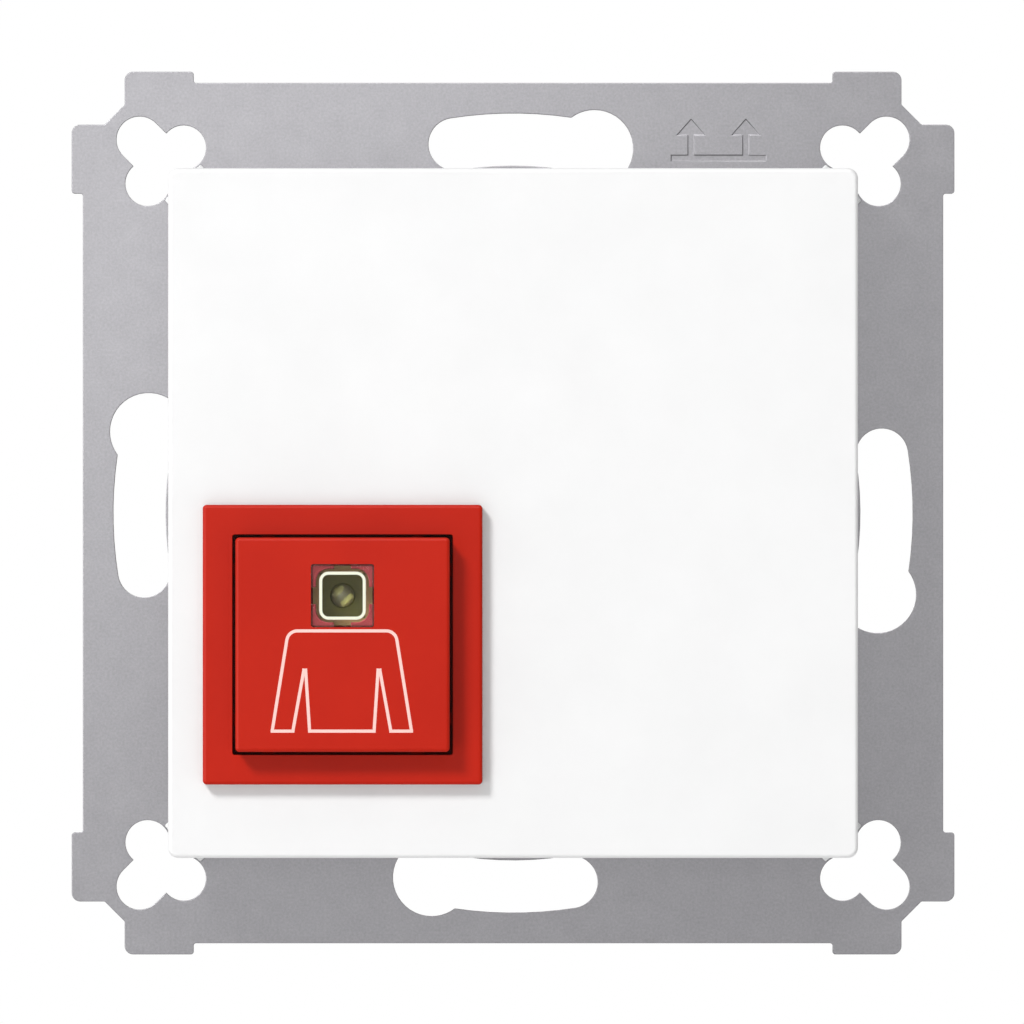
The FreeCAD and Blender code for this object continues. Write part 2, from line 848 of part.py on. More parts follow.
def led_leads():
    bars = lead_bars(lead_width, pad_back, board_back + lead_tail)
    leads = [joined([bar, pad]) for bar, pad in zip(bars, pads(led_middle, pad_back))]
    return in_module(Part.makeCompound(leads))


def led_dome():
    radius = led_diameter / 2
    barrel = rod(window_x, window_z, led_diameter, led_middle, led_seat)
    ball = Part.makeSphere(radius, vec(window_x, led_middle, window_z))
    body = joined([barrel, ball]).common(rod(window_x, window_z, led_diameter, led_middle - radius, led_seat))
    inside = lead_bars(lead_width, pad_back, led_seat) + pads(led_middle, pad_back)
    return in_module(body.cut(Part.makeCompound(inside)))


def module_base():
    half_width = spring_x + spring_diameter / 2 + base_edge
    high = window_z + holder_opening + base_edge
    low = switch_z - switch_opening - base_edge
    floor = slab(rectangle(-half_width, half_width, low, high, base_corner_radius), base_front, board_front)
    peg_back = board_back + peg_head_height
    parts = [floor]
    parts += [rod(x, z, spring_pin_diameter, base_front - spring_pin_length, base_front)
              for x, z in spring_places]
    parts += [rod(x, z, peg_diameter, board_front, peg_back) for x, z in peg_places]
    parts += [rod(x, z, peg_head_diameter, board_back, peg_back) for x, z in peg_places]
    openings = [
        square(switch_opening, small_radius, switch_x, switch_z),
        square(holder_opening, holder_radius, window_x, window_z),
    ]
    cuts = [slab(corners, base_front, board_front) for corners in openings]
    head = screw_head_diameter + 2 * screw_head_clearance
    cuts += [rod(x - module_x, z - module_z, head, base_front, board_front) for x, z in screw_places]
    return in_module(joined(parts).cut(Part.makeCompound(cuts)))


def return_spring(place):
    x, z = place
    front = cap_inside + spring_end_gap
    back = base_front - spring_end_gap
    return in_module(coil(spring_diameter, spring_wire, spring_turns, x, z, front, back))


def switch_base():
    corners = square(switch_span / 2, moulded_radius, switch_x, switch_z)
    body = slab(corners, switch_body_front, board_front)
    return in_module(body.cut(rod(switch_x, switch_z, switch_cavity, switch_body_front, switch_inside)))


def switch_cover():
    corners = square(switch_span / 2, moulded_radius, switch_x, switch_z)
    sheet = slab(corners, switch_front, switch_body_front)
    hole = rod(switch_x, switch_z, plunger_diameter + 2 * plunger_play, switch_front, switch_body_front)
    return in_module(sheet.cut(hole))


def switch_plunger():
    barrel = rod(switch_x, switch_z, plunger_diameter, plunger_front, plunger_back)
    flange = rod(switch_x, switch_z, switch_cavity - 2 * plunger_play, plunger_shoulder, plunger_back)
    bore = rod(switch_x, switch_z, plunger_diameter - 2 * plunger_wall, plunger_front + plunger_top,
               plunger_back)
    return in_module(joined([barrel, flange]).cut(bore))


def contact_dome():
    """Shallow sprung disc on the switch's floor."""
    diameter = switch_cavity - 2 * dome_play
    ball = (diameter * diameter / 4 + dome_rise * dome_rise) / (2 * dome_rise)
    middle = vec(switch_x, switch_inside + ball - dome_rise, switch_z)
    shell = Part.makeSphere(ball, middle).cut(Part.makeSphere(ball - dome_thickness, middle))
    keep = rod(switch_x, switch_z, diameter, switch_inside - 2 * dome_rise, switch_inside)
    return in_module(shell.common(keep))


def switch_spring():
    diameter = plunger_diameter - 2 * (plunger_wall + switch_spring_play)
    front = plunger_front + plunger_top + spring_end_gap
    back = switch_inside - dome_rise - spring_end_gap
    return in_module(coil(diameter, switch_spring_wire, switch_spring_turns, switch_x, switch_z, front, back))


def switch_legs(play=0.0):
    """Four pins under the switch, through the board."""
    half = switch_leg / 2 + play
    spread = switch_leg_spread / 2
    back = board_back + switch_leg_tail
    places = [(switch_x + sx * spread, switch_z + sz * spread) for sx in (-1, 1) for sz in (-1, 1)]
    legs = [box(x - half, x + half, board_front, back, z - half, z + half) for x, z in places]
    return in_module(Part.makeCompound(legs))


def pole_centres():
    first = block_x - pole_pitch * (poles - 1) / 2
    return [first + pole_pitch * i for i in range(poles)]


def tails(play, y0, y1):
    half_x = tail_width / 2 + play
    half_z = tail_thickness / 2 + play
    return [box(x - half_x, x + half_x, y0, y1, block_z - half_z, block_z + half_z)
            for x in pole_centres()]


def main_board():
    board = slab(square(board_half, board_corner_radius), board_front, board_back)
    module_cuts = lead_bars(lead_width + 2 * lead_play, board_front, board_back)
    module_cuts += [rod(x, z, peg_diameter + 2 * peg_play, board_front, board_back) for x, z in peg_places]
    cuts = [rod(x, z, screw_hole_diameter, board_front, board_back) for x, z in screw_places]
    cuts += tails(tail_play, board_front, board_back)
    cuts += [in_module(shape) for shape in module_cuts]
    cuts.append(switch_legs(lead_play))
    return board.cut(Part.makeCompound(cuts))


def chip_leg(x, side):
    """Bent leg on one long side of the chip: a shoulder, a drop and a foot on the board."""
    half = chip_leg_width / 2
    edge = row_z + side * chip_width / 2
    knee = edge + side * chip_leg_knee
    knee_end = knee + side * chip_leg_thickness
    shoulder = board_back + chip_height / 2

    def piece(y0, y1, z0, z1):
        return box(x - half, x + half, y0, y1, min(z0, z1), max(z0, z1))

    return joined([
        piece(shoulder - chip_leg_thickness, shoulder, edge - side * rib_root, knee_end),
        piece(board_back, shoulder, knee, knee_end),
        piece(board_back, board_back + chip_leg_thickness, knee, edge + side * chip_leg_reach),
    ])


def control_chip():
    half_length = chip_length / 2
    half_width = chip_width / 2
    body = box(chip_x - half_length, chip_x + half_length, board_back + chip_lift, board_back + chip_height,
               row_z - half_width, row_z + half_width)
    first = chip_x - chip_leg_pitch * (chip_legs - 1) / 2
    legs = [chip_leg(first + i * chip_leg_pitch, side) for i in range(chip_legs) for side in (-1, 1)]
    return joined([body] + legs)


def chip_resistors():
    half_length = resistor_length / 2
    half_width = resistor_width / 2
    back = board_back + resistor_height
    shapes = []
    first = row_z - row_pitch * (resistor_rows - 1) / 2
    for x in (resistor_left_x, resistor_right_x):
        for row in range(resistor_rows):
            z = first + row * row_pitch
            shapes.append(box(x - half_length, x + half_length, board_back, back,
                              z - half_width, z + half_width))
    return Part.makeCompound(shapes)


def buffer_capacitor():
    back = board_back + capacitor_height
    can = rod(capacitor_x, row_z, capacitor_diameter, board_back, back)
    return rounded_front(can, back, capacitor_sleeve_radius)


def housing_screw(x, z):
    """Pan-head screw with a cross recess."""
    head = rod(x, z, screw_head_diameter, screw_head_front, board_front)
    head = rounded_front(head, screw_head_front, screw_head_radius)
    shank = rod(x, z, screw_diameter, board_front, screw_tip)
    half = screw_recess_width / 2
    span = screw_recess_span / 2
    back = screw_head_front + screw_recess
    cross = [box(x - half, x + half, screw_head_front, back, z - span, z + span),
             box(x - span, x + span, screw_head_front, back, z - half, z + half)]
    return joined([head, shank]).cut(Part.makeCompound(cross))


def housing_screws():
    return Part.makeCompound([housing_screw(x, z) for x, z in screw_places])


def housing_ribs():
    """Low ribs on the tub's outside."""
    first = -rib_pitch * (rib_count - 1) / 2
    half = rib_thickness / 2
    ribs = []
    for i in range(rib_count):
        x = first + i * rib_pitch
        ribs += four_times(box(x - half, x + half, flange_back, housing_depth - rib_setback,
                               housing_half - rib_root, housing_half + rib_height))
    return ribs


def housing():
    front = -seat_depth
    flange = slab(octagon(flange_half, flange_diagonal, housing_radius), front, flange_back)
    tub = slab(octagon(housing_half, housing_diagonal, housing_radius), front, housing_depth)
    pilot_back = screw_tip + pilot_end
    bosses = [rod(x, z, boss_diameter, front, pilot_back + boss_end) for x, z in screw_places]
    body = joined([flange, tub] + bosses + housing_ribs())
    floor = housing_depth - housing_wall
    inner_diagonal = housing_diagonal - housing_wall * math.sqrt(2)
    inner = octagon(housing_half - housing_wall, inner_diagonal, housing_radius)
    half = block_half_length + block_cutout_play
    half_width = block_width / 2 + block_cutout_play
    cuts = [slab(inner, front, floor)]
    cuts.append(box(block_x - half, block_x + half, floor, housing_depth,
                    block_z - half_width, block_z + half_width))
    cuts += [rod(x, z, pilot_diameter, front, pilot_back) for x, z in screw_places]
    return body.cut(Part.makeCompound(cuts))


def terminal_block():
    half_width = block_width / 2
    half_cage = cage_width / 2 + cage_play
    half_depth = cage_depth / 2 + cage_play
    half_entry = (cage_inside + entry_margin) / 2
    entry_front = cage_front + cage_wall
    entry_back = cage_back - 2 * cage_wall - entry_margin
    body = box(block_x - block_half_length, block_x + block_half_length, board_back, block_back,
               block_z - half_width, block_z + half_width)
    cuts = tails(tail_play, board_back, cage_front)
    for x in pole_centres():
        cuts.append(box(x - half_cage, x + half_cage, cage_front - cage_play, clamp_head_front,
                        block_z - half_depth, block_z + half_depth))
        cuts.append(rod(x, block_z, clamp_screw_head + 2 * clamp_bore_play, cage_back, block_back))
        cuts.append(box(x - half_entry, x + half_entry, entry_front, entry_back,
                        block_z - half_width, block_z))
    return body.cut(Part.makeCompound(cuts))


def terminal_clamps():
    """Brass cages, open along Z, with the screw's thread in the thick back wall."""
    half_depth = cage_depth / 2
    inner_back = cage_back - 2 * cage_wall
    cages = []
    for x in pole_centres():
        cage = box(x - cage_width / 2, x + cage_width / 2, cage_front, cage_back,
                   block_z - half_depth, block_z + half_depth)
        hollow = box(x - cage_inside / 2, x + cage_inside / 2, cage_front + cage_wall, inner_back,
                     block_z - half_depth, block_z + half_depth)
        thread = rod(x, block_z, clamp_screw_diameter + 2 * thread_play, inner_back, cage_back)
        cages.append(cage.cut(Part.makeCompound([hollow, thread])))
    return Part.makeCompound(cages)


def terminal_screws():
    """Slotted clamp screws, each left at its own angle."""
    screws = []
    reach = clamp_screw_head / 2
    half_slot = clamp_screw_slot / 2
    for i, x in enumerate(pole_centres()):
        head = rod(x, block_z, clamp_screw_head, clamp_head_front, clamp_head_back)
        shank = rod(x, block_z, clamp_screw_diameter, clamp_head_front - clamp_screw_length, clamp_head_front)
        slot = box(x - reach, x + reach, clamp_head_back - clamp_screw_slot_depth, clamp_head_back,
                   block_z - half_slot, block_z + half_slot)
        slot.rotate(vec(x, 0, block_z), vec(0, 1, 0), clamp_first_angle + i * clamp_angle_step)
        screws.append(joined([head, shank]).cut(slot))
    return Part.makeCompound(screws)


def terminal_tails():
    """Solder tails from the cages down through the board."""
    return Part.makeCompound(tails(0, board_front - tail_reach, cage_front))


def parts():
    left, right = spring_places
    return {
        "mounting_plate": mounting_plate(),
        "carrier_frame": carrier_frame(),
        "centre_plate": centre_plate(),
        "bezel": bezel(),
        "button_cap": button_cap(),
        "figure_inlay": figure_inlay(),
        "window_lens": window_lens(),
        "window_ring": window_ring(),
        "lens_retainer": lens_retainer(),
        "led_holder": led_holder(),
        "led_dome": led_dome(),
        "led_leads": led_leads(),
        "module_base": module_base(),
        "return_spring_left": return_spring(left),
        "return_spring_right": return_spring(right),
        "switch_base": switch_base(),
        "switch_cover": switch_cover(),
        "switch_plunger": switch_plunger(),
        "switch_spring": switch_spring(),
        "contact_dome": contact_dome(),
        "switch_legs": switch_legs(),
        "main_board": main_board(),
        "control_chip": control_chip(),
        "chip_resistors": chip_resistors(),
        "buffer_capacitor": buffer_capacitor(),
        "housing_screws": housing_screws(),
        "housing": housing(),
        "terminal_block": terminal_block(),
        "terminal_clamps": terminal_clamps(),
        "terminal_screws": terminal_screws(),
        "terminal_tails": terminal_tails(),
    }


def main():
    os.makedirs("parts", exist_ok=True)
    for name, shape in parts().items():
        shape.exportStep("parts/" + name + ".step")
        solids = shape.Solids
        sound = all(solid.isValid() for solid in solids)
        print(f"{name}: {len(solids)} solids, {shape.Volume:.1f} mm3, {'valid' if sound else 'NOT VALID'}")


main()
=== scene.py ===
"""Looks of the wall call button insert: finishes, softened edges, springs, screws, camera and light.

Metres, in the frame of the part: X to the right, Z up, Y into the wall, the back of the steel plate
at Y = 0. The picture is taken straight from the front with a long lens.
"""

import math

import bmesh
import bpy
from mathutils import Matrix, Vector

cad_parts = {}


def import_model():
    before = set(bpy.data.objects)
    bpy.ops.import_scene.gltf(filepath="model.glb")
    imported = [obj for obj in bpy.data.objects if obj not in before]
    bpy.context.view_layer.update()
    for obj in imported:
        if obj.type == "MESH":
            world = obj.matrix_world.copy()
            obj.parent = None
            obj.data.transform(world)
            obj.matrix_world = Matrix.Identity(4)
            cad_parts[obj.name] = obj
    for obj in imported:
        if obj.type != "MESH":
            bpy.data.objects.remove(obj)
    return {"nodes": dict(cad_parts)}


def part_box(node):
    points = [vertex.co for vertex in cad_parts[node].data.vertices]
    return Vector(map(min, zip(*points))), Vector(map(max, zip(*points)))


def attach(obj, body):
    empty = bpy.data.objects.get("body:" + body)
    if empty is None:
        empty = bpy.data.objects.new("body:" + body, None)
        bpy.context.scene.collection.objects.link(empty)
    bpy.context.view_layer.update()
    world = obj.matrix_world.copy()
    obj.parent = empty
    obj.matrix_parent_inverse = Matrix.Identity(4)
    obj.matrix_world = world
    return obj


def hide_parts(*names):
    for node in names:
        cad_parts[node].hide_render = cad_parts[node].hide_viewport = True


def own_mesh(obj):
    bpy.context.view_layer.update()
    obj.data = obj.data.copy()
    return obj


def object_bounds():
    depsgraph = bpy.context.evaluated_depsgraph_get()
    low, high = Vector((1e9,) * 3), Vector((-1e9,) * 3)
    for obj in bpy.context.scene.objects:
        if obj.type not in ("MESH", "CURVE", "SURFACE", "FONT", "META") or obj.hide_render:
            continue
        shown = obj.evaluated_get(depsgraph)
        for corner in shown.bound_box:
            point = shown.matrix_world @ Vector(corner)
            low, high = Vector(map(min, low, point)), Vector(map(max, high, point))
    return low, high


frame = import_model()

cad_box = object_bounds()
nodes = frame["nodes"]
mm = 0.001

# Picture: field width and middle, in the plane halfway between the steel plate and the cap
picture_width = 82.1 * mm
picture_x = -0.084 * mm
picture_y = -7.0 * mm
picture_z = 0.084 * mm
lens = 1500.0
sensor = 36.0

# Light: shares of a plain white's brightness on the face of the part, and where each lamp stands
world_share = 0.38
key_share = 0.42
key_direction = Vector((-0.76, -1.0, 0.96))
key_distance = 2.4
key_size = 0.6

# Lamps that show only in gloss: a near one, which lets the steel fade away from the upper left, and two
# panels above and to the left, which catch the rounded edges
near_share = 0.06
near_direction = Vector((-0.13, -1.0, 0.13))
near_distance = 0.21
near_size = 0.06
panel_share = 0.5
panel_distance = 0.4
panel_size = 0.3
top_direction = Vector((0.0, -1.0, 1.1))
left_direction = Vector((-1.1, -1.0, 0.0))

# Floor: how far below the part it lies, and its width
floor_drop = 0.10
floor_size = 6.0

# Radii of the softened edges
sheared_edge = 0.05 * mm
moulded_edge = 0.12 * mm
fine_edge = 0.06 * mm

# Softening: facets flatter than the first turn are one face, edges sharper than the second are rounded
merge_distance = 0.0005 * mm
flat_turn = math.radians(0.5)
softened_turn = math.radians(40)
edge_steps = 2

# Springs: wire, turns with the dead ones, and points along each turn
coil_wire = 0.3 * mm
cap_spring_turns = 7.5
switch_spring_turns = 4.5
points_per_turn = 28

# Size of the faint clouds in moulded plastic
flow_cloud = 6 * mm

# Half widths at the window: the pane, outside which the gap's shade is painted, and the part of the light
# holder inside the ring, outside which the rose frame's light is painted
pane_half = 2.385 * mm
ring_half = 1.8 * mm


def linear(hex_colour):
    """Linear colour of an sRGB hex value."""
    parts = [int(hex_colour[i:i + 2], 16) / 255 for i in (1, 3, 5)]
    return tuple(p / 12.92 if p <= 0.04045 else ((p + 0.055) / 1.055) ** 2.4 for p in parts) + (1.0,)


def add_node(tree, kind, sockets=None, **settings):
    """Adds a node. Each socket gets a plain value or is linked to another node's output."""
    made = tree.nodes.new(kind)
    for name, value in settings.items():
        setattr(made, name, value)
    for socket, value in (sockets or {}).items():
        if isinstance(value, bpy.types.NodeSocket):
            tree.links.new(value, made.inputs[socket])
        else:
            made.inputs[socket].default_value = value
    return made


def new_material(name, sockets):
    """Material with one Principled shader, its even values set on the shader itself."""
    material = bpy.data.materials.new(name)
    material.use_nodes = True
    shader = material.node_tree.nodes["Principled BSDF"]
    for socket, value in sockets.items():
        shader.inputs[socket].default_value = value
    return material, material.node_tree, shader


def two_tones(tree, factor, dark, light):
    """Colour between two hex tones."""
    mix = add_node(tree, "ShaderNodeMix", {0: factor, 6: linear(dark), 7: linear(light)}, data_type="RGBA")
    return mix.outputs[2]


def between(tree, value, low, high, start=0.3, end=0.7):
    """Maps a pattern's usual span onto two values."""
    sockets = {"Value": value, "From Min": start, "From Max": end, "To Min": low, "To Max": high}
    return add_node(tree, "ShaderNodeMapRange", sockets).outputs["Result"]


def moulded_plastic(name, dark, light, roughness, grain, bump, mirror=0.5):
    """Injection-moulded plastic: a fine spark-eroded grain and a faint cloud of flow in its colour."""
    sockets = {"Roughness": roughness, "IOR": 1.5, "Specular IOR Level": mirror}
    material, tree, shader = new_material(name, sockets)
    place = add_node(tree, "ShaderNodeTexCoord").outputs["Object"]
    flow = add_node(tree, "ShaderNodeTexNoise", {"Vector": place, "Scale": 1 / flow_cloud, "Detail": 3.0})
    grit = add_node(tree, "ShaderNodeTexNoise", {"Vector": place, "Scale": 1 / grain, "Detail": 3.0})
    colour = two_tones(tree, between(tree, flow.outputs["Fac"], 0.0, 1.0), dark, light)
    tree.links.new(colour, shader.inputs["Base Color"])
    gloss = between(tree, grit.outputs["Fac"], roughness - 0.05, roughness + 0.05)
    tree.links.new(gloss, shader.inputs["Roughness"])
    raised = add_node(tree, "ShaderNodeBump", {"Strength": bump, "Distance": 0.01 * mm,
                                              "Height": grit.outputs["Fac"]})
    tree.links.new(raised.outputs["Normal"], shader.inputs["Normal"])
    return material


def bare_metal(name, dark, light, roughness, grain, bump, stretch=(1.0, 1.0, 1.0)):
    """Plated or drawn metal: a fine grain, drawn out along one axis where stretch is uneven."""
    material, tree, shader = new_material(name, {"Metallic": 1.0, "Roughness": roughness})
    place = add_node(tree, "ShaderNodeTexCoord").outputs["Object"]
    turned = add_node(tree, "ShaderNodeMapping", {"Vector": place, "Scale": stretch})
    grit = add_node(tree, "ShaderNodeTexNoise", {"Vector": turned.outputs["Vector"], "Scale": 1 / grain,
                                                "Detail": 4.0})
    colour = two_tones(tree, between(tree, grit.outputs["Fac"], 0.0, 1.0), dark, light)
    tree.links.new(colour, shader.inputs["Base Color"])
    gloss = between(tree, grit.outputs["Fac"], roughness - 0.06, roughness + 0.08)
    tree.links.new(gloss, shader.inputs["Roughness"])
    raised = add_node(tree, "ShaderNodeBump", {"Strength": bump, "Distance": 0.005 * mm,
                                              "Height": grit.outputs["Fac"]})
    tree.links.new(raised.outputs["Normal"], shader.inputs["Normal"])
    return material


def galvanised_sheet():
    """Hot-dip zinc on pressed steel sheet: dull blue-grey, fine speckle over a soft millimetre mottle."""
    roughness = 0.36
    material, tree, shader = new_material("galvanised_sheet", {"Metallic": 1.0, "Roughness": roughness})
    coordinates = add_node(tree, "ShaderNodeTexCoord")
    place = coordinates.outputs["Object"]
    mottle = add_node(tree, "ShaderNodeTexNoise", {"Vector": place, "Scale": 1 / (1.6 * mm), "Detail": 4.0,
                                                  "Roughness": 0.6})
    # The real speckle is about 0.1 mm; it is drawn at 0.2 mm so that it shows
    speckle = add_node(tree, "ShaderNodeTexNoise", {"Vector": place, "Scale": 1 / (0.2 * mm), "Detail": 3.0,
                                                   "Roughness": 0.7})
    spangle = add_node(tree, "ShaderNodeTexVoronoi", {"Vector": place, "Scale": 1 / (2.2 * mm)})
    soft = two_tones(tree, between(tree, mottle.outputs["Fac"], 0.0, 1.0), "#868588", "#8E8D90")
    fine = two_tones(tree, between(tree, speckle.outputs["Fac"], 0.0, 1.0), "#807F82", "#959497")
    face = add_node(tree, "ShaderNodeMix", {0: 0.6, 6: soft, 7: fine}, data_type="RGBA")
    # Sides and rounded edges, whose faces turn away from the front and back, are painted darker than the
    # faces
    upright = add_node(tree, "ShaderNodeSeparateXYZ", {0: coordinates.outputs["Normal"]})
    flatness = add_node(tree, "ShaderNodeMath", {0: upright.outputs[1]}, operation="ABSOLUTE")
    turned_away = between(tree, flatness.outputs[0], 0.75, 0.0, 0.6, 0.97)
    colour = add_node(tree, "ShaderNodeMix", {0: turned_away, 6: face.outputs[2], 7: linear("#5B5A5E")},
                      data_type="RGBA")
    tree.links.new(colour.outputs[2], shader.inputs["Base Color"])
    wander = add_node(tree, "ShaderNodeMath", {0: speckle.outputs["Fac"], 1: spangle.outputs["Distance"]},
                      operation="ADD")
    gloss = between(tree, wander.outputs[0], roughness - 0.02, roughness + 0.02, 0.5, 1.3)
    tree.links.new(gloss, shader.inputs["Roughness"])
    raised = add_node(tree, "ShaderNodeBump", {"Strength": 0.3, "Distance": 0.005 * mm,
                                              "Height": speckle.outputs["Fac"]})
    tree.links.new(raised.outputs["Normal"], shader.inputs["Normal"])
    return material


def clear_plastic(name, tint, roughness, ior, straight, haze):
    """Clear moulding or resin. It lets the lamps through to what lies behind it, the straight share of the
    view passes as through a thin pane, and the haze share of the rest is milky."""
    sockets = {"Base Color": linear(tint), "Roughness": roughness, "IOR": ior,
               "Transmission Weight": 1 - haze}
    material, tree, shader = new_material(name, sockets)
    place = add_node(tree, "ShaderNodeTexCoord").outputs["Object"]
    ripple = add_node(tree, "ShaderNodeTexNoise", {"Vector": place, "Scale": 1 / (1.5 * mm), "Detail": 1.0})
    raised = add_node(tree, "ShaderNodeBump", {"Strength": 0.15, "Distance": 0.02 * mm,
                                              "Height": ripple.outputs["Fac"]})
    tree.links.new(raised.outputs["Normal"], shader.inputs["Normal"])
    path = add_node(tree, "ShaderNodeLightPath")
    share = add_node(tree, "ShaderNodeMath", {0: path.outputs["Is Shadow Ray"], 1: straight},
                     operation="MAXIMUM")
    clear = add_node(tree, "ShaderNodeBsdfTransparent", {"Color": linear(tint)})
    mix = add_node(tree, "ShaderNodeMixShader", {0: share.outputs[0], 1: shader.outputs[0],
                                                 2: clear.outputs[0]})
    output = tree.nodes["Material Output"]
    tree.links.new(mix.outputs[0], output.inputs["Surface"])
    return material


def paint_shade_and_light_outside(material, half, colour):
    """Paints plain plastic of another colour outside a square round the window's middle, on a piece behind
    it: painted shade of the gap round the pane, and painted light thrown by the rose frame on the holder's
    collar.
    """
    tree = material.node_tree
    shader = tree.nodes["Principled BSDF"]
    low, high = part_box("window_lens")
    place = add_node(tree, "ShaderNodeTexCoord").outputs["Object"]
    moved = add_node(tree, "ShaderNodeVectorMath", {0: place, 1: (low + high) / 2}, operation="SUBTRACT")
    apart = add_node(tree, "ShaderNodeVectorMath", {0: moved.outputs[0]}, operation="ABSOLUTE")
    axes = add_node(tree, "ShaderNodeSeparateXYZ", {0: apart.outputs[0]})
    farther = add_node(tree, "ShaderNodeMath", {0: axes.outputs[0], 1: axes.outputs[2]}, operation="MAXIMUM")
    outside = add_node(tree, "ShaderNodeMath", {0: farther.outputs[0], 1: half}, operation="GREATER_THAN")
    inner = shader.inputs["Base Color"].links[0].from_socket
    mix = add_node(tree, "ShaderNodeMix", {0: outside.outputs[0], 6: inner, 7: linear(colour)},
                   data_type="RGBA")
    tree.links.new(mix.outputs[2], shader.inputs["Base Color"])
    metal = between(tree, outside.outputs[0], shader.inputs["Metallic"].default_value, 0.0, 0.0, 1.0)
    tree.links.new(metal, shader.inputs["Metallic"])


def calm_bounce(material, colour, share):
    """Takes that share of the colour out of the light that a piece throws on the matt pieces around it."""
    tree = material.node_tree
    shader = tree.nodes["Principled BSDF"]
    path = add_node(tree, "ShaderNodeLightPath")
    factor = add_node(tree, "ShaderNodeMath", {0: path.outputs["Is Diffuse Ray"], 1: share},
                      operation="MULTIPLY")
    seen = shader.inputs["Base Color"].links[0].from_socket
    mix = add_node(tree, "ShaderNodeMix", {0: factor.outputs[0], 6: seen, 7: linear(colour)},
                   data_type="RGBA")
    tree.links.new(mix.outputs[2], shader.inputs["Base Color"])


def solder_resist():
    """Green lacquer over glass weave and copper: the weave shows as a faint 0.4 mm check."""
    material, tree, shader = new_material("green_solder_resist", {"Roughness": 0.35, "IOR": 1.5})
    place = add_node(tree, "ShaderNodeTexCoord").outputs["Object"]
    weave = add_node(tree, "ShaderNodeTexChecker", {"Vector": place, "Scale": 1 / (0.4 * mm)})
    cloud = add_node(tree, "ShaderNodeTexNoise", {"Vector": place, "Scale": 1 / (5 * mm), "Detail": 3.0})
    fibres = two_tones(tree, weave.outputs["Fac"], "#115A30", "#14612F")
    lacquer = two_tones(tree, between(tree, cloud.outputs["Fac"], 0.0, 1.0), "#0E4F2A", "#1A6B3A")
    colour = add_node(tree, "ShaderNodeMix", {0: 0.5, 6: fibres, 7: lacquer}, data_type="RGBA")
    tree.links.new(colour.outputs[2], shader.inputs["Base Color"])
    raised = add_node(tree, "ShaderNodeBump", {"Strength": 0.2, "Distance": 0.01 * mm,
                                              "Height": weave.outputs["Fac"]})
    tree.links.new(raised.outputs["Normal"], shader.inputs["Normal"])
    return material


# Zinc-coated plate and screws: a metal that stays dull in its highlights
steel = galvanised_sheet()
# Cover: smooth white polycarbonate with a soft sheen, clean and even
white_cover = moulded_plastic("white_polycarbonate", "#F1F1F1", "#F4F4F4", 0.46, 0.12 * mm, 0.08)
# Carrier: unlit white polycarbonate, a little greyer and duller than the cover
white_carrier = moulded_plastic("milky_polycarbonate", "#E3E4E4", "#ECEDED", 0.45, 0.15 * mm, 0.2)
# Bezel and cap: satin red ABS, the same batch for both; it tints the white cover beside it only faintly
red_satin = moulded_plastic("red_satin_abs", "#BF1D06", "#C42008", 0.42, 0.10 * mm, 0.12, mirror=0.12)
calm_bounce(red_satin, "#808080", 0.7)
# Frame behind the window: rose metallised moulding; in the gap round the pane it is matt dark red, painted
# shade of the gap
rose_frame = bare_metal("rose_metallised_moulding", "#8E3E43", "#9C484C", 0.32, 0.15 * mm, 0.2)
# Painted shade: matt dark red outside the pane's edge, where the gap round the pane lies in shade
paint_shade_and_light_outside(rose_frame, pane_half, "#5C0A06")
# Inlaid lines: white ABS of the second shot, faintly warm from the red beneath
white_inlay = moulded_plastic("white_second_shot", "#FFCDC4", "#FFD3CB", 0.38, 0.10 * mm, 0.05)
# Ring in the window: the same white over clear plastic, so cooler
white_ring = moulded_plastic("white_ring_shot", "#EFF1DA", "#F4F6DF", 0.38, 0.10 * mm, 0.05)
# Light holder and moulding under it: olive and black nylon, dull; outside the ring the holder's collar is
# painted lighter brown, a painted reflection of the rose frame's light, and in the gap round the pane it is
# painted dark red shade
olive_nylon = moulded_plastic("olive_nylon", "#636534", "#6B6D38", 0.55, 0.12 * mm, 0.3, mirror=0.2)
# Painted light: lighter brown on the collar outside the ring, standing for the rose frame's light thrown on
# it
paint_shade_and_light_outside(olive_nylon, ring_half, "#BC9C6C")
# Painted shade: matt dark red outside the pane's edge, in the gap round the pane
paint_shade_and_light_outside(olive_nylon, pane_half, "#5C0A06")
black_nylon = moulded_plastic("black_nylon", "#151515", "#1E1E1E", 0.5, 0.12 * mm, 0.3)
natural_nylon = moulded_plastic("natural_nylon", "#D8D2C0", "#E2DDCE", 0.5, 0.12 * mm, 0.2)
# Housing: anthracite glass-filled nylon with a coarse matt grain
grey_nylon = moulded_plastic("anthracite_glass_filled_nylon", "#34373B", "#3D4044", 0.55, 0.22 * mm, 0.6)
# Terminal block: mid-green nylon, smoother
green_nylon = moulded_plastic("green_nylon", "#2C6B41", "#327549", 0.42, 0.15 * mm, 0.25)
# Chip and resistors: black transfer-moulded epoxy, very fine and dull
black_epoxy = moulded_plastic("black_moulded_epoxy", "#161616", "#202020", 0.6, 0.08 * mm, 0.4)
# Capacitor: dark blue shrunk sleeve with a gloss
blue_sleeve = moulded_plastic("dark_blue_shrunk_sleeve", "#141B33", "#1B2340", 0.25, 0.6 * mm, 0.15)
# Clear parts: acrylic window, and the yellowish resin of the light source
acrylic = clear_plastic("clear_acrylic", "#FFFFFC", 0.04, 1.49, 0.8, 0.0)
resin = clear_plastic("clear_epoxy_resin", "#F2F2CC", 0.03, 1.51, 0.6, 0.6)
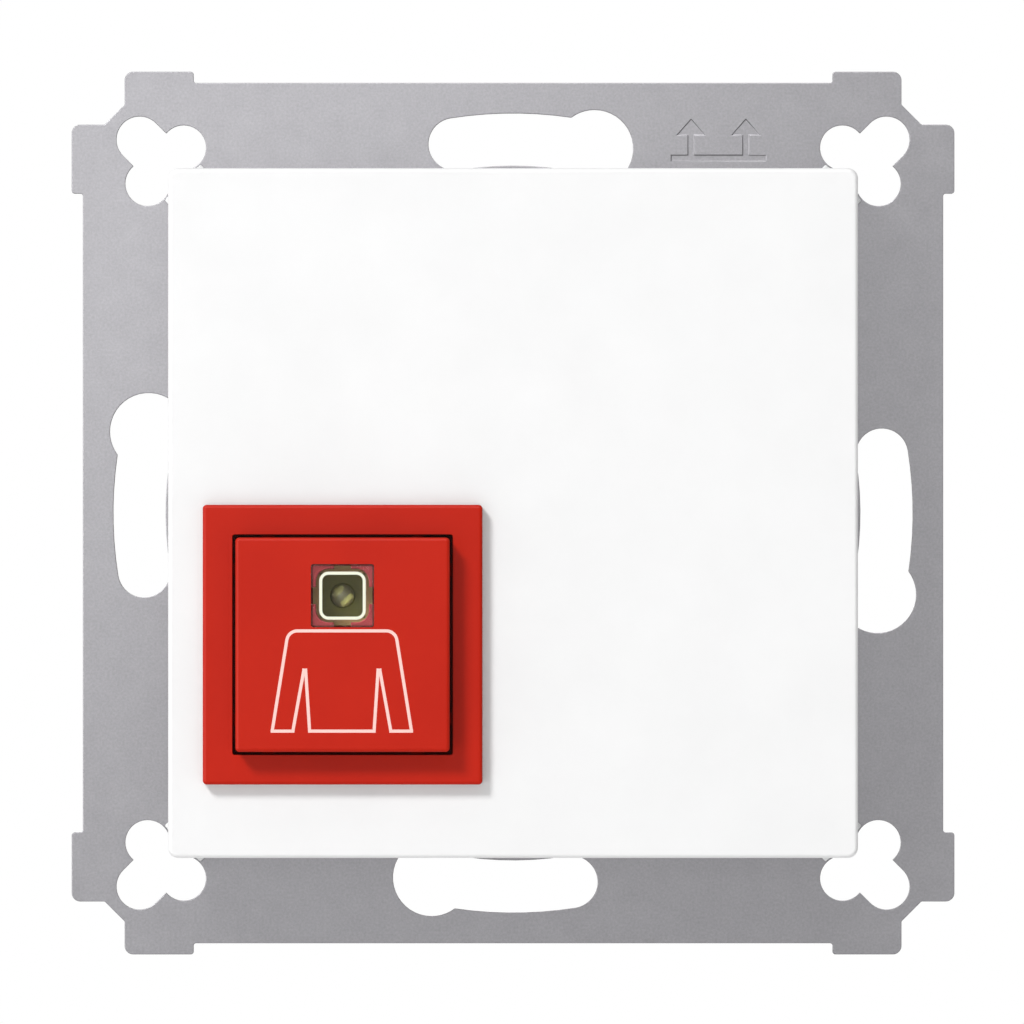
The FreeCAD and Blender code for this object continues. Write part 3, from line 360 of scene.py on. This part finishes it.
# Metals: tin plate, drawn spring wire and brass, each with a fine grain
tin_plate = bare_metal("tin_plate", "#B9B8B0", "#CFCEC6", 0.28, 0.15 * mm, 0.2)
silver_plate = bare_metal("bright_silver_plate", "#C4C4BA", "#D6D6CC", 0.22, 0.12 * mm, 0.2)
spring_wire = bare_metal("drawn_spring_wire", "#9A9B9D", "#B0B1B3", 0.30, 0.10 * mm, 0.2)
brass = bare_metal("nickelled_brass", "#B49A58", "#C9AE68", 0.30, 0.15 * mm, 0.2, (1.0, 0.2, 1.0))
circuit_green = solder_resist()


def plain_mesh(made):
    """The object's shape with its modifiers applied, as a mesh of its own."""
    depsgraph = bpy.context.evaluated_depsgraph_get()
    return bpy.data.meshes.new_from_object(made.evaluated_get(depsgraph), depsgraph=depsgraph)


def softened(source, name, material, radius, slot, body):
    """Copy of a CAD node with its sharp edges rounded, which stands for the node."""
    shape = bmesh.new()
    shape.from_mesh(nodes[source].data)
    bmesh.ops.remove_doubles(shape, verts=shape.verts, dist=merge_distance)
    bmesh.ops.dissolve_limit(shape, angle_limit=flat_turn, verts=shape.verts, edges=shape.edges)
    mesh = bpy.data.meshes.new(name)
    shape.to_mesh(mesh)
    shape.free()
    mesh.polygons.foreach_set("use_smooth", [True] * len(mesh.polygons))
    piece = bpy.data.objects.new(name, mesh)
    bpy.context.scene.collection.objects.link(piece)
    if radius:
        bevel = piece.modifiers.new("soft edges", "BEVEL")
        bevel.width = radius
        bevel.segments = edge_steps
        bevel.limit_method = "ANGLE"
        bevel.angle_limit = softened_turn
    even = piece.modifiers.new("even shading", "WEIGHTED_NORMAL")
    even.weight = 100
    finished = plain_mesh(piece)
    piece.modifiers.clear()
    piece.data = finished
    dress(piece, material, slot, body, source)
    return piece


def dress(piece, material, slot, body, *sources):
    """Gives a piece its finish, its body and the nodes that it stands for."""
    piece.data.materials.clear()
    piece.data.materials.append(material)
    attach(piece, body)
    if sources:
        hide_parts(*sources)


def paint(material, *names):
    """Gives CAD nodes that stay a finish."""
    for name in names:
        mesh = nodes[name].data
        mesh.materials.clear()
        mesh.materials.append(material)


def geometry_tree(name, inputs):
    """Empty geometry tree with named inputs, and its input node."""
    tree = bpy.data.node_groups.new(name, "GeometryNodeTree")
    tree.interface.new_socket("Geometry", in_out="OUTPUT", socket_type="NodeSocketGeometry")
    for label, kind in inputs.items():
        tree.interface.new_socket(label, in_out="INPUT", socket_type="NodeSocket" + kind)
    return tree, add_node(tree, "NodeGroupInput").outputs


def close_tree(tree, geometry, material):
    """Ends a tree in plain mesh with its material."""
    plain = add_node(tree, "GeometryNodeRealizeInstances", {"Geometry": geometry})
    finish = add_node(tree, "GeometryNodeSetMaterial", {"Geometry": plain.outputs[0], "Material": material})
    add_node(tree, "NodeGroupOutput", {"Geometry": finish.outputs[0]})


def grown(name, tree, values):
    """Object made by a geometry tree from those sizes, as a plain mesh."""
    piece = bpy.data.objects.new(name, bpy.data.meshes.new(name))
    bpy.context.scene.collection.objects.link(piece)
    modifier = piece.modifiers.new(tree.name, "NODES")
    modifier.node_group = tree
    for item in tree.interface.items_tree:
        if item.in_out == "INPUT":
            modifier[item.identifier] = values[item.name]
    finished = plain_mesh(piece)
    piece.modifiers.clear()
    piece.data = finished
    return piece


def joined(name, pieces):
    """One object from several."""
    shape = bmesh.new()
    for piece in pieces:
        shape.from_mesh(piece.data)
    mesh = bpy.data.meshes.new(name)
    shape.to_mesh(mesh)
    shape.free()
    for piece in pieces:
        bpy.data.objects.remove(piece)
    made = bpy.data.objects.new(name, mesh)
    bpy.context.scene.collection.objects.link(made)
    return made


def coil_tree():
    """Compression spring along Y with one dead turn at each end."""
    sizes = {"Start": "Vector", "Mean Radius": "Float", "Wire": "Float", "Turns": "Float", "Length": "Float",
             "Points": "Int"}
    tree, given = geometry_tree("compression_coil", sizes)

    def maths(operation, first, second=0.0):
        return add_node(tree, "ShaderNodeMath", {0: first, 1: second}, operation=operation).outputs[0]

    line = add_node(tree, "GeometryNodeCurvePrimitiveLine", {"End": (0.0, 1.0, 0.0)})
    path = add_node(tree, "GeometryNodeResampleCurve", {"Curve": line.outputs[0], "Count": given["Points"]})
    along = add_node(tree, "GeometryNodeSplineParameter").outputs["Factor"]
    angle = maths("MULTIPLY", maths("MULTIPLY", along, given["Turns"]), 2 * math.pi)
    dead = maths("DIVIDE", 1.0, given["Turns"])
    live_end = maths("SUBTRACT", 1.0, dead)
    middle_rise = maths("SUBTRACT", given["Length"], maths("MULTIPLY", given["Wire"], 3.0))
    rises = []
    for start, end, rise in ((0.0, dead, given["Wire"]), (dead, live_end, middle_rise),
                             (live_end, 1.0, given["Wire"])):
        part = add_node(tree, "ShaderNodeMapRange", {"Value": along, "From Min": start, "From Max": end,
                                                     "To Min": 0.0, "To Max": rise})
        rises.append(part.outputs["Result"])
    height = maths("ADD", maths("ADD", rises[0], rises[1]), maths("ADD", rises[2], maths(
        "MULTIPLY", given["Wire"], 0.5)))
    across = maths("MULTIPLY", given["Mean Radius"], maths("COSINE", angle))
    up = maths("MULTIPLY", given["Mean Radius"], maths("SINE", angle))
    place = add_node(tree, "ShaderNodeCombineXYZ", {0: across, 1: height, 2: up})
    moved = add_node(tree, "ShaderNodeVectorMath", {0: place.outputs[0], 1: given["Start"]}, operation="ADD")
    bent = add_node(tree, "GeometryNodeSetPosition", {"Geometry": path.outputs[0],
                                                     "Position": moved.outputs[0]})
    ring = add_node(tree, "GeometryNodeCurvePrimitiveCircle", {"Resolution": 10, "Radius": maths(
        "MULTIPLY", given["Wire"], 0.5)})
    wire = add_node(tree, "GeometryNodeCurveToMesh", {"Curve": bent.outputs[0],
                                                      "Profile Curve": ring.outputs[0], "Fill Caps": True})
    smooth = add_node(tree, "GeometryNodeSetShadeSmooth", {"Geometry": wire.outputs[0]})
    close_tree(tree, smooth.outputs[0], spring_wire)
    return tree


def coil(tree, name, source, turns):
    """A spring in the place of its node, with the node's own diameter and length."""
    low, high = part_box(source)
    middle = (low + high) / 2
    return grown(name, tree, {"Start": (middle.x, low.y, middle.z),
                              "Mean Radius": (high.x - low.x - coil_wire) / 2, "Wire": coil_wire,
                              "Turns": turns, "Length": high.y - low.y,
                              "Points": int(turns * points_per_turn)})


def screw_tree(name, material, crossed):
    """Screws on a grid: head, chamfer, driver slot or cross, and plain shank. Heads face along Y."""
    sizes = {"Columns": "Int", "Rows": "Int", "Width": "Float", "Height": "Float", "Middle": "Vector",
             "Head Radius": "Float", "Head Height": "Float", "Chamfer": "Float", "Slot Width": "Float",
             "Slot Length": "Float", "Slot Depth": "Float", "First Angle": "Float", "Angle Step": "Float",
             "Shank Radius": "Float", "Shank Length": "Float", "Facing": "Float"}
    tree, given = geometry_tree(name, sizes)

    def maths(operation, first, second=0.0):
        return add_node(tree, "ShaderNodeMath", {0: first, 1: second}, operation=operation).outputs[0]

    def lifted(geometry, height):
        offset = add_node(tree, "ShaderNodeCombineXYZ", {2: height})
        moved = add_node(tree, "GeometryNodeTransform", {"Geometry": geometry,
                                                         "Translation": offset.outputs[0]})
        return moved.outputs[0]

    straight = maths("SUBTRACT", given["Head Height"], given["Chamfer"])
    drum = add_node(tree, "GeometryNodeMeshCylinder", {"Vertices": 40, "Radius": given["Head Radius"],
                                                       "Depth": straight})
    top = add_node(tree, "GeometryNodeMeshCone", {"Vertices": 40, "Radius Bottom": given["Head Radius"],
                                                  "Radius Top": maths("SUBTRACT", given["Head Radius"],
                                                                      given["Chamfer"]),
                                                  "Depth": given["Chamfer"]})
    head = add_node(tree, "GeometryNodeJoinGeometry")
    tree.links.new(lifted(drum.outputs[0], maths("MULTIPLY", straight, 0.5)), head.inputs[0])
    tree.links.new(lifted(top.outputs[0], straight), head.inputs[0])
    welded = add_node(tree, "GeometryNodeMergeByDistance", {"Geometry": head.outputs[0],
                                                           "Distance": 0.001 * mm})
    solid = welded.outputs[0]
    for length, width in ((given["Slot Length"], given["Slot Width"]),
                          (given["Slot Width"], given["Slot Length"]))[:2 if crossed else 1]:
        size = add_node(tree, "ShaderNodeCombineXYZ", {0: length, 1: width, 2: maths(
            "MULTIPLY", given["Slot Depth"], 2.0)})
        bar = add_node(tree, "GeometryNodeMeshCube", {"Size": size.outputs[0]})
        cut = add_node(tree, "GeometryNodeMeshBoolean", {"Mesh 1": solid, "Mesh 2": lifted(
            bar.outputs[0], given["Head Height"])}, operation="DIFFERENCE")
        solid = cut.outputs[0]
    shank = add_node(tree, "GeometryNodeMeshCylinder", {"Vertices": 24, "Radius": given["Shank Radius"],
                                                        "Depth": given["Shank Length"]})
    whole = add_node(tree, "GeometryNodeJoinGeometry")
    tree.links.new(solid, whole.inputs[0])
    tree.links.new(lifted(shank.outputs[0], maths("MULTIPLY", given["Shank Length"], -0.5)), whole.inputs[0])
    grid = add_node(tree, "GeometryNodeMeshGrid", {"Size X": given["Width"], "Size Y": given["Height"],
                                                   "Vertices X": given["Columns"],
                                                   "Vertices Y": given["Rows"]})
    index = add_node(tree, "GeometryNodeInputIndex").outputs[0]
    turn = maths("ADD", given["First Angle"], maths("MULTIPLY", index, given["Angle Step"]))
    rotation = add_node(tree, "ShaderNodeCombineXYZ", {2: turn})
    placed = add_node(tree, "GeometryNodeInstanceOnPoints", {"Points": grid.outputs[0],
                                                            "Instance": whole.outputs[0],
                                                            "Rotation": rotation.outputs[0]})
    tilt = add_node(tree, "ShaderNodeCombineXYZ", {0: maths("MULTIPLY", given["Facing"], -math.pi / 2)})
    stood = add_node(tree, "GeometryNodeTransform", {"Geometry": placed.outputs[0],
                                                     "Translation": given["Middle"],
                                                     "Rotation": tilt.outputs[0]})
    close_tree(tree, stood.outputs[0], material)
    return tree


def springs():
    """The two cap springs and the switch spring, drawn as coils, and the contact disc."""
    tree = coil_tree()
    left = coil(tree, "coil_left", "return_spring_left", cap_spring_turns)
    right = coil(tree, "coil_right", "return_spring_right", cap_spring_turns)
    pair = joined("return_coils", [left, right])
    dress(pair, spring_wire, "spring_steel", "insert", "return_spring_left", "return_spring_right")
    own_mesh(pair)
    small = coil(tree, "switch_coil", "switch_spring", switch_spring_turns)
    dress(small, spring_wire, "spring_steel", "insert", "switch_spring")
    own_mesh(small)
    paint(spring_wire, "contact_dome")


def screws():
    """Housing screws and clamp screws."""
    low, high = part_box("housing_screws")
    head = 2.6 * mm
    head_height = 1.7 * mm
    span = high.x - low.x - 2 * head
    tree = screw_tree("cross_recess_screws", steel, True)
    front = grown("housing_screw_set", tree, {
        "Columns": 2, "Rows": 2, "Width": span, "Height": span,
        "Middle": ((low.x + high.x) / 2, low.y + head_height, (low.z + high.z) / 2),
        "Head Radius": head, "Head Height": head_height, "Chamfer": 0.5 * mm, "Slot Width": 0.55 * mm,
        "Slot Length": 2.9 * mm, "Slot Depth": 0.9 * mm, "First Angle": 0.3, "Angle Step": 0.9,
        "Shank Radius": 1.43 * mm, "Shank Length": high.y - low.y - head_height, "Facing": -1.0})
    dress(front, steel, "galvanised_steel", "insert", "housing_screws")
    low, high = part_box("terminal_screws")
    head = (high.z - low.z) / 2
    head_height = 1.4 * mm
    tree = screw_tree("slotted_clamp_screws", tin_plate, False)
    back = grown("clamp_screw_set", tree, {
        "Columns": 6, "Rows": 1, "Width": high.x - low.x - 2 * head, "Height": 0.0,
        "Middle": ((low.x + high.x) / 2, high.y - head_height, (low.z + high.z) / 2),
        "Head Radius": head, "Head Height": head_height, "Chamfer": 0.25 * mm, "Slot Width": 0.55 * mm,
        "Slot Length": 4 * head, "Slot Depth": 0.7 * mm, "First Angle": math.radians(20),
        "Angle Step": math.radians(35), "Shank Radius": 0.8 * mm,
        "Shank Length": high.y - low.y - head_height, "Facing": 1.0})
    dress(back, tin_plate, "tinned_metal", "insert", "terminal_screws")


def mouldings():
    """The pieces that show, each with its edges as the press or the mould leaves them."""
    softened("mounting_plate", "plate_sheet", steel, sheared_edge, "galvanised_steel", "insert")
    softened("carrier_frame", "carrier_moulding", white_carrier, moulded_edge, "white_matt_plastic", "insert")
    cover = softened("centre_plate", "cover_moulding", white_cover, fine_edge, "white_gloss_plastic",
                     "insert")
    # The dull zinc beside the cover shows the bright room and not the cover's shaded side
    cover.visible_glossy = False
    softened("bezel", "bezel_moulding", red_satin, fine_edge, "red_plastic", "insert")
    softened("button_cap", "cap_moulding", red_satin, fine_edge, "red_plastic", "button")
    softened("window_lens", "window_pane", acrylic, fine_edge, "clear_plastic", "button")
    softened("lens_retainer", "retainer_moulding", rose_frame, fine_edge, "red_plastic", "button")
    softened("led_holder", "holder_moulding", olive_nylon, fine_edge, "olive_plastic", "insert")
    softened("led_dome", "led_body", resin, 0, "led_resin", "insert")
    softened("housing", "housing_moulding", grey_nylon, moulded_edge, "grey_plastic", "insert")
    softened("terminal_block", "terminal_moulding", green_nylon, moulded_edge, "terminal_plastic", "insert")
    softened("terminal_clamps", "clamp_cages", brass, fine_edge, "terminal_brass", "insert")


def plain_nodes():
    """CAD nodes that stay as they are and get a finish."""
    paint(white_inlay, "figure_inlay")
    paint(white_ring, "window_ring")
    paint(silver_plate, "led_leads")
    paint(tin_plate, "switch_cover", "switch_legs", "terminal_tails")
    paint(black_nylon, "module_base", "switch_base")
    paint(natural_nylon, "switch_plunger")
    paint(circuit_green, "main_board")
    paint(black_epoxy, "control_chip", "chip_resistors")
    paint(blue_sleeve, "buffer_capacitor")


def camera():
    """Straight from the front, far away with a long lens."""
    data = bpy.data.cameras.new("front_camera")
    data.lens = lens
    data.sensor_width = sensor
    made = bpy.data.objects.new("front_camera", data)
    bpy.context.scene.collection.objects.link(made)
    distance = picture_width * lens / sensor
    made.location = (picture_x, picture_y - distance, picture_z)
    made.rotation_euler = (math.pi / 2, 0, 0)
    data.clip_start = distance / 10
    data.clip_end = distance * 10
    bpy.context.scene.camera = made


def lamp(name, direction, distance, size, share, only_gloss=False, shadow=True):
    """Round area lamp that gives a face turned to the front that share of full white. One that shows only
    in gloss lights no matt surface, and one without shadow reaches steel that the cover would shade."""
    data = bpy.data.lights.new(name, "AREA")
    data.shape = "DISK"
    data.size = size
    toward = direction.normalized()
    facing = -toward.y
    data.energy = share * math.pi ** 2 * distance ** 2 / facing
    made = bpy.data.objects.new(name, data)
    bpy.context.scene.collection.objects.link(made)
    made.location = toward * distance
    made.rotation_euler = (-toward).to_track_quat("-Z", "Y").to_euler()
    made.visible_camera = False
    made.visible_diffuse = not only_gloss
    data.use_shadow = shadow


def world():
    """White behind the part and in its reflections, a plain grey level for everything else."""
    made = bpy.data.worlds.new("white_room")
    bpy.context.scene.world = made
    made.use_nodes = True
    tree = made.node_tree
    tree.nodes.clear()
    path = add_node(tree, "ShaderNodeLightPath")
    seen = path.outputs["Is Camera Ray"]
    for kind in ("Is Glossy Ray", "Is Transmission Ray"):
        either = add_node(tree, "ShaderNodeMath", {0: seen, 1: path.outputs[kind]}, operation="MAXIMUM")
        seen = either.outputs[0]
    fill = add_node(tree, "ShaderNodeBackground", {"Color": (1, 1, 1, 1), "Strength": world_share})
    white = add_node(tree, "ShaderNodeBackground", {"Color": (1, 1, 1, 1), "Strength": 1.0})
    mix = add_node(tree, "ShaderNodeMixShader", {0: seen, 1: fill.outputs[0], 2: white.outputs[0]})
    add_node(tree, "ShaderNodeOutputWorld", {"Surface": mix.outputs[0]})


def pale_floor():
    """Floor some way below the part, pale and matt."""
    half = floor_size / 2
    height = cad_box[0].z - floor_drop
    mesh = bpy.data.meshes.new("pale_floor")
    corners = [(-half, -half, height), (half, -half, height), (half, half, height), (-half, half, height)]
    mesh.from_pydata(corners, [], [(0, 1, 2, 3)])
    made = bpy.data.objects.new("pale_floor", mesh)
    bpy.context.scene.collection.objects.link(made)
    material, tree, shader = new_material("matt_floor_paint", {"Roughness": 0.8})
    place = add_node(tree, "ShaderNodeTexCoord").outputs["Object"]
    cloud = add_node(tree, "ShaderNodeTexNoise", {"Vector": place, "Scale": 3.0, "Detail": 2.0})
    colour = two_tones(tree, between(tree, cloud.outputs["Fac"], 0.0, 1.0), "#FAFAFA", "#FCFCFC")
    tree.links.new(colour, shader.inputs["Base Color"])
    mesh.materials.append(material)


bpy.context.scene.view_settings.view_transform = "Standard"
camera()
world()
lamp("key_lamp", key_direction, key_distance, key_size, key_share)
lamp("near_lamp", near_direction, near_distance, near_size, near_share, only_gloss=True, shadow=False)
lamp("top_panel", top_direction, panel_distance, panel_size, panel_share, only_gloss=True)
lamp("left_panel", left_direction, panel_distance, panel_size, panel_share, only_gloss=True)
pale_floor()
mouldings()
springs()
screws()
plain_nodes()
